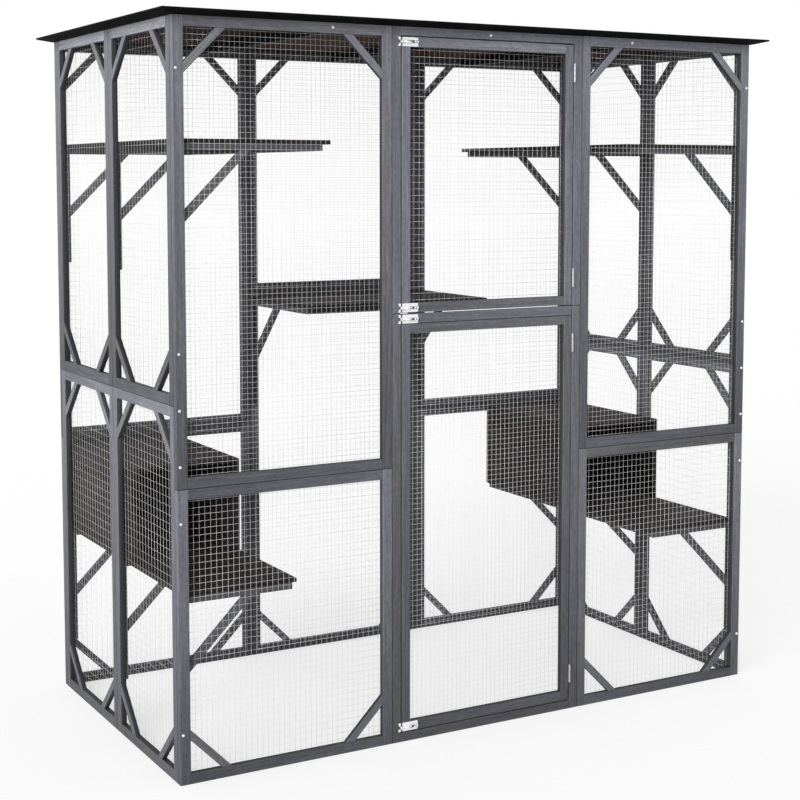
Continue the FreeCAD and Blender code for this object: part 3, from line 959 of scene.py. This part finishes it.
def build_roof():
    """Four boards, felt over each, and rafters under their joints. Returns the rafters' places."""
    names = [f"roof_board_{place}" for place in ("left", "centre_left", "centre_right", "right")]
    felt_low, felt_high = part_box("roof_felt")
    felt = bmesh.new()
    felt.verts.layers.float.new("weathered")
    joints = []
    for node in names:
        low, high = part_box(node)
        sides = ((low.x, -1), (high.x, 1))
        ends = [x for x in (low.x, high.x) if x in (felt_low.x, felt_high.x)]
        sheet_x = [x if x in ends else x - side * PANEL_GAP for x, side in sides]
        roof_sheet(felt, sheet_x, (low.y, high.y), felt_high.z, low.z - MM, ends)
        board_x = [x - side * FELT_HEM if x in ends else x for x, side in sides]
        board_y = (low.y + FELT_HEM, high.y - FELT_HEM)
        board = Joinery()
        board.board(flat_outline(board_x, board_y, low.z), UP * (high.z - low.z), TO_BACK)
        hand_over(f"{node}_sheet", board.mesh, "roof_board_wood", body_of(node), [node])
        joints.append(high.x)
    bmesh.ops.solidify(felt, geom=felt.faces[:], thickness=FELT)
    hand_over("roof_felt_sheets", felt, "roof_felt", body_of("roof_felt"), ["roof_felt"])
    low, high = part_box("roof_rafters")
    rafters = Joinery()
    # The rafters are painted nearly black, as painted shade under the roof
    tones = (RAFTER_TONE, RAFTER_TONE)
    for x in joints[:-1]:
        rafter_x = (x - RAFTER_WIDTH / 2, x + RAFTER_WIDTH / 2)
        outline = flat_outline(rafter_x, (low.y, high.y), low.z)
        rafters.board(outline, UP * (high.z - low.z), TO_BACK, tones=tones)
    node = "roof_rafters"
    bars = hand_over("roof_rafter_bars", rafters.mesh, "painted_timber", body_of(node), [node])
    bars.data.materials[0] = RAFTER_PAINT
    return joints[:-1]


# Screws

def as_pattern(name, mesh):
    """Keeps a mesh for stamping."""
    data = bpy.data.meshes.new(name)
    mesh.to_mesh(data)
    mesh.free()
    return data


def screw_pattern():
    """A round head of radius 1 that stands out along Z, with a cross recess."""
    mesh = bmesh.new()
    rim = bmesh.ops.create_circle(
        mesh, cap_ends=True, segments=SCREW_SIDES, radius=1
    )["verts"]
    ring = list({edge for vert in rim for edge in vert.link_edges})
    for height, radius in SCREW_STEPS:
        grown = bmesh.ops.extrude_edge_only(mesh, edges=ring)["geom"]
        ring = rim_in(grown)
        for vert in verts_in(grown):
            flat = Vector((vert.co.x, vert.co.y, 0)).normalized() * radius
            vert.co = flat + UP * height
    top = Matrix.Translation(UP * SCREW_TOP)
    grid = bmesh.ops.create_grid(
        mesh, x_segments=3, y_segments=3, size=SCREW_RECESS_REACH, matrix=top
    )["verts"]
    faces = list(faces_on(grid))
    border = [edge for edge in {e for face in faces for e in face.edges} if edge.is_boundary]
    bmesh.ops.bridge_loops(mesh, edges=ring + border)
    cross = [face for face in faces if min(abs(c) for c in face.calc_center_median()[:2]) < 0.1]
    sunk = bmesh.ops.extrude_face_region(mesh, geom=cross)["geom"]
    bmesh.ops.translate(mesh, vec=-UP * SCREW_RECESS, verts=verts_in(sunk))
    bmesh.ops.delete(mesh, geom=[face for face in cross if face.is_valid], context="FACES_ONLY")
    bmesh.ops.recalc_face_normals(mesh, faces=mesh.faces[:])
    return as_pattern("screw_pattern", mesh)


SCREW = screw_pattern()


def stamp(mesh, pattern, place):
    """Adds a pattern to a mesh at a place."""
    before = set(mesh.verts)
    mesh.from_mesh(pattern)
    bmesh.ops.transform(mesh, matrix=place, verts=new_since(mesh, before))


def drive_screw(mesh, point, outward, radius):
    """Sets a screw head on a face."""
    turn = outward.to_track_quat("Z", "Y").to_matrix().to_4x4()
    spin = Matrix.Rotation(random.uniform(0, pi / 2), 4, "Z")
    stamp(mesh, SCREW, Matrix.Translation(point) @ turn @ spin @ Matrix.Scale(radius, 4))


def build_frame_screws(rafters):
    """Screws through the corner stiles into the sides, and the top rails into the rafters."""
    for side in ("front", "back"):
        wall = WALLS[side]
        screws = bmesh.new()
        corner = BODY_HIGH.x - PANEL_THICK / 2
        for u in (-corner, corner):
            for v in SCREW_HEIGHTS:
                drive_screw(screws, wall.point(u, v, 0), -wall.inward, SCREW_RADIUS)
        under_roof = BODY_HIGH.z - SCREW_BELOW_ROOF
        for u in rafters:
            drive_screw(screws, wall.point(u, under_roof, 0), -wall.inward, SCREW_RADIUS)
        hand_over(f"{side}_screws", screws, "zinc_hardware", "enclosure")


# Latches. A pattern starts on the face of a stile, level with the bolt, with X along the bolt.

def cut_across(mesh, x):
    """Cuts a mesh at a place along the bolt."""
    parts = mesh.verts[:] + mesh.edges[:] + mesh.faces[:]
    bmesh.ops.bisect_plane(mesh, geom=parts, plane_co=(x, 0, 0), plane_no=(1, 0, 0))


def latch_pattern():
    """A pressed plate with rounded corners and a barrel for the bolt, slotted for its knob."""
    mesh = bmesh.new()
    along_x = Matrix.Rotation(pi / 2, 4, "Y")
    bmesh.ops.create_cone(
        mesh,
        segments=BARREL_SIDES,
        radius1=BARREL_RADIUS,
        radius2=BARREL_RADIUS,
        depth=LATCH_LENGTH - 2 * BARREL_MARGIN,
        matrix=Matrix.Translation((LATCH_LENGTH / 2, -BOLT_AXIS, 0)) @ along_x,
    )
    knob = LATCH_LENGTH - KNOB_FROM_END
    for x in (knob - SLOT_HALF, knob + SLOT_HALF):
        cut_across(mesh, x)
    slot = []
    for face in mesh.faces:
        face.smooth = True
        centre = face.calc_center_median()
        outward = -BOLT_AXIS - centre.y
        if abs(centre.x - knob) < SLOT_HALF and outward > BARREL_RADIUS * cos(SLOT_TURN):
            slot.append(face)
    bmesh.ops.delete(mesh, geom=slot, context="FACES")
    bmesh.ops.recalc_face_normals(mesh, faces=mesh.faces[:])
    bmesh.ops.solidify(mesh, geom=mesh.faces[:], thickness=BARREL_WALL)
    middle = Matrix.Translation((LATCH_LENGTH / 2, -LATCH_SHEET / 2, 0))
    size = Matrix.Diagonal((LATCH_LENGTH, LATCH_SHEET, LATCH_HEIGHT, 1))
    corners = bmesh.ops.create_cube(mesh, size=1, matrix=middle @ size)["verts"]
    edges = {edge for vert in corners for edge in vert.link_edges}
    half = LATCH_SHEET / 2
    through = [edge for edge in edges if abs(edge.verts[0].co.y - edge.verts[1].co.y) > half]
    rounded = ease(mesh, through, LATCH_CORNER, 4)
    rim = {edge for face in rounded for vert in face.verts for edge in vert.link_edges}
    outer = [edge for edge in rim if all(vert.co.y < -half for vert in edge.verts)]
    ease(mesh, outer, LATCH_EDGE, 2)
    height = LATCH_HEIGHT / 2 - LATCH_SCREW_INSET
    for x in (LATCH_SCREW_INSET, LATCH_LENGTH - LATCH_SCREW_INSET):
        for z in (height, -height):
            drive_screw(mesh, Vector((x, -LATCH_SHEET, z)), -TO_BACK, LATCH_SCREW_RADIUS)
    return as_pattern("latch_pattern", mesh)


def drawn_on(mesh, vert, move):
    """Draws an edge from a point, and returns the point at its end."""
    end = bmesh.ops.extrude_vert_indiv(mesh, verts=[vert])["verts"][0]
    bmesh.ops.translate(mesh, vec=move, verts=[end])
    return end


def keep_pattern():
    """A strap bent over the bolt, with a screwed foot above and below and one edge waisted."""
    mesh = bmesh.new()
    inner = BOLT_RADIUS + KEEP_CLEARANCE
    foot = LATCH_HEIGHT / 2 - inner
    tip = mesh.verts.new((0, 0, -LATCH_HEIGHT / 2))
    tip = drawn_on(mesh, tip, (0, 0, foot))
    tip = drawn_on(mesh, tip, (0, -BOLT_AXIS, 0))
    arch = bmesh.ops.spin(
        mesh, geom=[tip], cent=(0, -BOLT_AXIS, 0), axis=(1, 0, 0), angle=-pi, steps=KEEP_BENDS
    )["geom_last"]
    tip = verts_in(arch)[0]
    tip = drawn_on(mesh, tip, (0, BOLT_AXIS, 0))
    drawn_on(mesh, tip, (0, 0, foot))
    bmesh.ops.remove_doubles(mesh, verts=mesh.verts[:], dist=0.01 * MM)
    feet = [edge for edge in mesh.edges if abs(edge.verts[0].co.z - edge.verts[1].co.z) > foot / 2]
    bmesh.ops.subdivide_edges(mesh, edges=feet, cuts=3)
    left = mesh.verts[:]
    grown = bmesh.ops.extrude_edge_only(mesh, edges=mesh.edges[:])["geom"]
    bmesh.ops.translate(mesh, vec=(KEEP_LENGTH, 0, 0), verts=verts_in(grown))
    for vert in left:
        part = abs(vert.co.z) / (LATCH_HEIGHT / 2)
        vert.co.x = KEEP_WAIST * (1 - part * part)
    bmesh.ops.recalc_face_normals(mesh, faces=mesh.faces[:])
    bmesh.ops.solidify(mesh, geom=mesh.faces[:], thickness=LATCH_SHEET)
    for side in (1, -1):
        height = inner + foot * KEEP_SCREW
        point = Vector((KEEP_LENGTH * KEEP_SCREW, -LATCH_SHEET, side * height))
        drive_screw(mesh, point, -TO_BACK, LATCH_SCREW_RADIUS)
    return as_pattern("keep_pattern", mesh)


def build_bolt(node, knob):
    """A round bolt with eased ends, with painted shade where it runs in its barrel, and a knob on a
    stem.
    """
    low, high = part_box(node)
    axis = Vector((0, high.y - BOLT_RADIUS, (low.z + high.z) / 2))
    mesh = bmesh.new()
    barrel_shade = mesh.verts.layers.float.new("barrel_shade")
    tip, tail = axis + Vector((low.x, 0, 0)), axis + Vector((high.x, 0, 0))
    straight_rod(mesh, tip, tail, BOLT_RADIUS, BARREL_SIDES)
    ends = {edge for face in mesh.faces if len(face.verts) > 4 for edge in face.edges}
    ease(mesh, list(ends), BOLT_EASE, 3)
    # Painted shade from here to the bolt's tail, where it runs in the barrel
    shade_start = low.x + BARREL_SHADE_FROM
    for x in (shade_start, shade_start + MM):
        cut_across(mesh, x)
    for vert in mesh.verts:
        vert[barrel_shade] = 1 if vert.co.x > shade_start + MM / 2 else 0
    foot = Vector((knob, axis.y, axis.z))
    ball = Vector((knob, low.y + KNOB_BALL, axis.z))
    straight_rod(mesh, foot, ball, KNOB_STEM, BARREL_SIDES)
    round_knob = bmesh.ops.create_uvsphere(
        mesh, u_segments=16, v_segments=10, radius=KNOB_BALL, matrix=Matrix.Translation(ball)
    )["verts"]
    for face in faces_on(round_knob):
        face.smooth = True
    hand_over(f"{node}_rod", mesh, "zinc_hardware", body_of(node), [node])


def build_latches():
    """A latch with its bolt at the foot and the head of each door, and keeps on the jamb."""
    latch = latch_pattern()
    keep = keep_pattern()
    face = BODY_LOW.y
    keep_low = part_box("latch_keeps")[0]
    keeps = bmesh.new()
    for door in ("lower", "upper"):
        node = f"{door}_door_latch_plates"
        low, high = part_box(node)
        plates = bmesh.new()
        for height in (low.z + LATCH_HEIGHT / 2, high.z - LATCH_HEIGHT / 2):
            stamp(plates, latch, Matrix.Translation((low.x, face, height)))
            stamp(keeps, keep, Matrix.Translation((keep_low.x, face, height)))
        hand_over(f"{node}_pressed", plates, "zinc_hardware", body_of(node), [node])
        for end in ("foot", "head"):
            build_bolt(f"{door}_door_{end}_bolt", high.x - KNOB_FROM_END)
    hand_over("latch_keep_straps", keeps, "zinc_hardware", body_of("latch_keeps"), ["latch_keeps"])


# Camera, light and floor

def place_camera(scene):
    """A camera at the photograph's viewing angle."""
    camera = bpy.data.objects.new("camera", bpy.data.cameras.new("camera"))
    scene.collection.objects.link(camera)
    camera.location = CAMERA_PLACE
    camera.rotation_euler = (radians(90 - CAMERA_PITCH), 0, radians(-CAMERA_AZIMUTH))
    camera.data.lens = CAMERA_LENS
    camera.data.shift_y = CAMERA_SHIFT
    scene.camera = camera


def seen_directly(tree):
    """1 for what is seen, also in metal and through glass, and 0 for the light on the object."""
    path = put(tree, "ShaderNodeLightPath").outputs
    seen = reckon(tree, "MAXIMUM", path["Is Camera Ray"], path["Is Glossy Ray"])
    return reckon(tree, "MAXIMUM", seen, path["Is Transmission Ray"])


def light_studio(scene):
    """A white backdrop that lights softly, and one broad lamp."""
    world = bpy.data.worlds.new("studio")
    scene.world = world
    world.use_nodes = True
    tree = world.node_tree
    sky = tree.nodes["Background"]
    sky.inputs["Color"].default_value = (1, 1, 1, 1)
    strength = between(tree, seen_directly(tree), (0, 1), (SKY, 1))
    tree.links.new(strength, sky.inputs["Strength"])
    lamp = bpy.data.lights.new("key", "SUN")
    lamp.energy = KEY_STRENGTH
    lamp.angle = radians(KEY_SPREAD)
    key = bpy.data.objects.new("key", lamp)
    scene.collection.objects.link(key)
    key.location = KEY_FROM
    key.rotation_euler = Vector(KEY_FROM).to_track_quat("Z", "Y").to_euler()


def lay_floor(scene):
    """A wide pale floor that keeps the object's shadow."""
    mesh = bmesh.new()
    bmesh.ops.create_grid(mesh, x_segments=1, y_segments=1, size=FLOOR_HALF)
    data = bpy.data.meshes.new("floor")
    mesh.to_mesh(data)
    mesh.free()
    made, tree, surface = new_material("pale_floor")
    surface.inputs["Base Color"].default_value = (FLOOR_GREY, FLOOR_GREY, FLOOR_GREY, 1)
    surface.inputs["Roughness"].default_value = 0.9
    surface.inputs["Specular IOR Level"].default_value = 0.1
    surface.inputs["Emission Color"].default_value = (1, 1, 1, 1)
    glow = between(tree, seen_directly(tree), (0, 1), (0, FLOOR_GLOW))
    tree.links.new(glow, surface.inputs["Emission Strength"])
    data.materials.append(made)
    floor = bpy.data.objects.new("floor", data)
    scene.collection.objects.link(floor)


def finish_hinges():
    """The hinges keep their own shapes and get the same zinc at half its brightness."""
    for node, thing in frame["nodes"].items():
        if "hinge" in node:
            thing.data.materials.clear()
            thing.data.materials.append(HINGE_ZINC)


studio = bpy.context.scene
studio.view_settings.view_transform = "Standard"
place_camera(studio)
light_studio(studio)
lay_floor(studio)
build_walls()
build_door_surround()
build_doors()
build_shelves()
build_houses()
build_frame_screws(build_roof())
build_latches()
finish_hinges()
